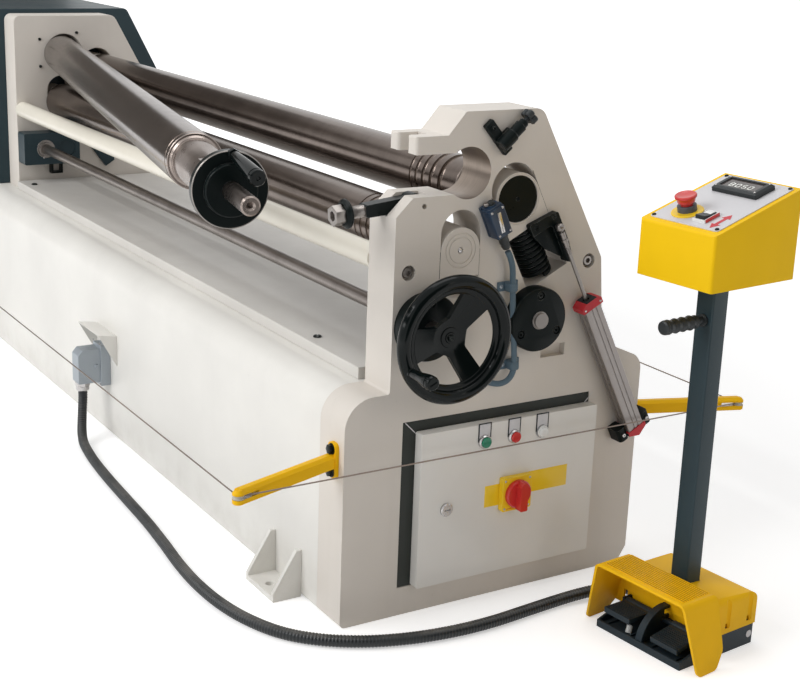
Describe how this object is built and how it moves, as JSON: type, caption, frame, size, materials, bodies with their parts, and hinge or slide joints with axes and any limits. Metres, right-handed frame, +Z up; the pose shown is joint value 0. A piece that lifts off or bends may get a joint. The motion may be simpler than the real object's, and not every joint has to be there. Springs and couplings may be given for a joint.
{
  "type": "plate rolling machine",
  "caption": "Motor-driven three-roll plate bending machine with a swing-out top roll, end control cabinet, trip wire, foot pedals and a console on a column.",
  "frame": {"origin": "on the floor, at the centre of the four anchor holes, which is also the centre of the base's footprint", "axes": "+X along the rolls towards the operator's end with the cabinet and handwheel, +Y from the operator's front side to the rear, +Z up"},
  "size_m": [3.3428, 1.2803, 1.019],
  "materials": {
    "cream_paint": "satin textured enamel, slightly soiled",
    "grey_paint": "satin dark grey enamel",
    "yellow_paint": "satin enamel",
    "black_steel": "blackened steel, oiled",
    "roll_steel": "turned and ground, oiled",
    "bright_steel": "machined",
    "cream_tube": "gloss enamel",
    "zinc": "die-cast, painted grey",
    "extrusion": "anodised",
    "blue_plastic": "moulded",
    "cable_grey": "smooth",
    "conduit_black": "ribbed",
    "wire_steel": "stranded",
    "black_plastic": "moulded",
    "red_plastic": "moulded",
    "green_plastic": "moulded",
    "white_plastic": "moulded",
    "yellow_plastic": "moulded",
    "face_plate": "brushed",
    "cabinet_steel": "zinc-plated inside"
  },
  "bodies": {
    "root": {"base_shell": "cream_paint", "anchor_feet": "cream_paint", "deck_plate": "cream_paint", "right_frame": "cream_paint", "left_frame": "cream_paint", "gear_cover": "grey_paint", "tie_tube": "cream_tube", "left_gear_block": "grey_paint", "shaft_flange": "black_steel", "adjusting_hub": "black_steel", "plunger_bracket": "black_steel", "limit_switch": "blue_plastic", "switch_cable": "cable_grey", "transducer_body": "extrusion", "block_spring": "black_steel", "cabinet_box": "cabinet_steel", "trip_arms": "yellow_paint", "trip_wire": "wire_steel", "trip_wire_end": "wire_steel", "connector_cover": "cream_paint", "connector_plug": "zinc", "hose_gland": "bright_steel", "conduit": "conduit_black", "pedal_base": "black_plastic", "pedal_guard": "yellow_paint", "rear_cover": "yellow_paint", "column": "grey_paint", "column_grip": "black_plastic", "console_box": "yellow_paint", "console_face": "face_plate", "display": "black_plastic", "estop_base": "yellow_plastic"},
    "swivel": {"swivel_bearing": "bright_steel"},
    "top_roll": {"top_roll": "roll_steel"},
    "bush": {"bush_flange": "black_steel", "pull_handle": "black_steel"},
    "swing_bolt": {"swing_bolt": "black_steel"},
    "front_blocks": {"front_bearing_blocks": "cream_paint"},
    "front_roll": {"front_roll": "roll_steel"},
    "rear_blocks": {"rear_bearing_blocks": "cream_paint", "spring_bracket": "black_steel", "transducer_rod": "bright_steel"},
    "rear_roll": {"rear_roll": "roll_steel"},
    "handwheel": {"adjusting_shaft": "bright_steel", "handwheel": "black_plastic"},
    "wheel_grip": {"wheel_grip": "black_plastic"},
    "plunger": {"plunger_knob": "black_plastic"},
    "door": {"cabinet_door": "cream_paint", "power_lamp": "white_plastic", "switch_plate": "yellow_plastic"},
    "start_button": {"start_button": "green_plastic"},
    "stop_button": {"stop_button": "red_plastic"},
    "switch_handle": {"switch_handle": "red_plastic"},
    "door_lock": {"door_lock": "bright_steel"},
    "estop": {"estop_button": "red_plastic"},
    "rocker": {"rocker_switch": "black_plastic"},
    "pedal_left": {"pedal_left": "black_plastic"},
    "pedal_right": {"pedal_right": "black_plastic"}
  },
  "joints": [
    {"name": "top_roll_swing", "type": "hinge", "parent": "root", "child": "swivel", "pos_m": [-0.9175, -0.105, 0.889], "axis": [0, 0, 1], "range_deg": [0, 12]},
    {"name": "top_roll_spin", "type": "hinge", "parent": "swivel", "child": "top_roll", "pos_m": [-0.9175, -0.105, 0.889], "axis": [0.9781, -0.2079, 0], "continuous": true},
    {"name": "bush_turn", "type": "hinge", "parent": "swivel", "child": "bush", "pos_m": [-0.9175, -0.105, 0.889], "axis": [0.9781, -0.2079, 0], "range_deg": [0, 90]},
    {"name": "swing_bolt_turn", "type": "hinge", "parent": "root", "child": "swing_bolt", "pos_m": [1.3525, -0.202, 0.832], "axis": [-1, 0, 0], "range_deg": [0, 95]},
    {"name": "front_roll_lift", "type": "slide", "parent": "root", "child": "front_blocks", "axis": [0, 0, 1], "range_m": [-0.02, 0.033]},
    {"name": "front_roll_spin", "type": "hinge", "parent": "front_blocks", "child": "front_roll", "pos_m": [0, -0.117, 0.741], "axis": [1, 0, 0], "continuous": true},
    {"name": "rear_roll_slide", "type": "slide", "parent": "root", "child": "rear_blocks", "axis": [0, -0.454, 0.891], "range_m": [-0.06, 0.02], "deforming": ["block_spring"]},
    {"name": "rear_roll_spin", "type": "hinge", "parent": "rear_blocks", "child": "rear_roll", "pos_m": [0, 0.01199, 0.8314], "axis": [1, 0, 0], "continuous": true},
    {"name": "handwheel_turn", "type": "hinge", "parent": "root", "child": "handwheel", "pos_m": [1.51, -0.194, 0.602], "axis": [1, 0, 0], "range_deg": [-721, 1189]},
    {"name": "wheel_grip_spin", "type": "hinge", "parent": "handwheel", "child": "wheel_grip", "pos_m": [1.51, -0.29415, 0.5553], "axis": [1, 0, 0], "continuous": true},
    {"name": "plunger_pull", "type": "slide", "parent": "root", "child": "plunger", "axis": [0, 0.7547, 0.6561], "range_m": [0, 0.012], "stiffness_N_per_m": 400, "springref_m": -0.01},
    {"name": "door_hinge", "type": "hinge", "parent": "root", "child": "door", "pos_m": [1.4125, 0.229, 0.225], "axis": [0, 0, 1], "range_deg": [0, 50], "deforming": ["trip_wire_end"]},
    {"name": "start_push", "type": "slide", "parent": "door", "child": "start_button", "axis": [-1, 0, 0], "range_m": [0, 0.003], "stiffness_N_per_m": 300, "springref_m": -0.002},
    {"name": "stop_push", "type": "slide", "parent": "door", "child": "stop_button", "axis": [-1, 0, 0], "range_m": [0, 0.003], "stiffness_N_per_m": 300, "springref_m": -0.002},
    {"name": "main_switch_turn", "type": "hinge", "parent": "door", "child": "switch_handle", "pos_m": [1.45, 0.025, 0.232], "axis": [1, 0, 0], "range_deg": [0, 90]},
    {"name": "door_lock_turn", "type": "hinge", "parent": "door", "child": "door_lock", "pos_m": [1.4275, -0.138, 0.222], "axis": [1, 0, 0], "range_deg": [0, 90]},
    {"name": "estop_press", "type": "slide", "parent": "root", "child": "estop", "axis": [-0.0293, 0.2786, -0.96], "range_m": [0, 0.004], "stiffness_N_per_m": 500, "springref_m": -0.003},
    {"name": "rocker_tip", "type": "hinge", "parent": "root", "child": "rocker", "pos_m": [1.75008, 0.1724, 0.85507], "axis": [0.9945, 0.1045, 0], "range_deg": [0, 16]},
    {"name": "pedal_left_press", "type": "hinge", "parent": "root", "child": "pedal_left", "pos_m": [1.66294, 0.17876, 0.042], "axis": [0.9945, 0.1045, 0], "range_deg": [0, 15], "stiffness_Nm_per_rad": 6, "springref_deg": -11.46},
    {"name": "pedal_right_press", "type": "hinge", "parent": "root", "child": "pedal_right", "pos_m": [1.78626, 0.19172, 0.042], "axis": [0.9945, 0.1045, 0], "range_deg": [-10, 5]}
  ],
  "couplings": [
    {"joint": "handwheel_turn", "follows": "front_roll_lift", "rad_per_m": 628.32}
  ]
}
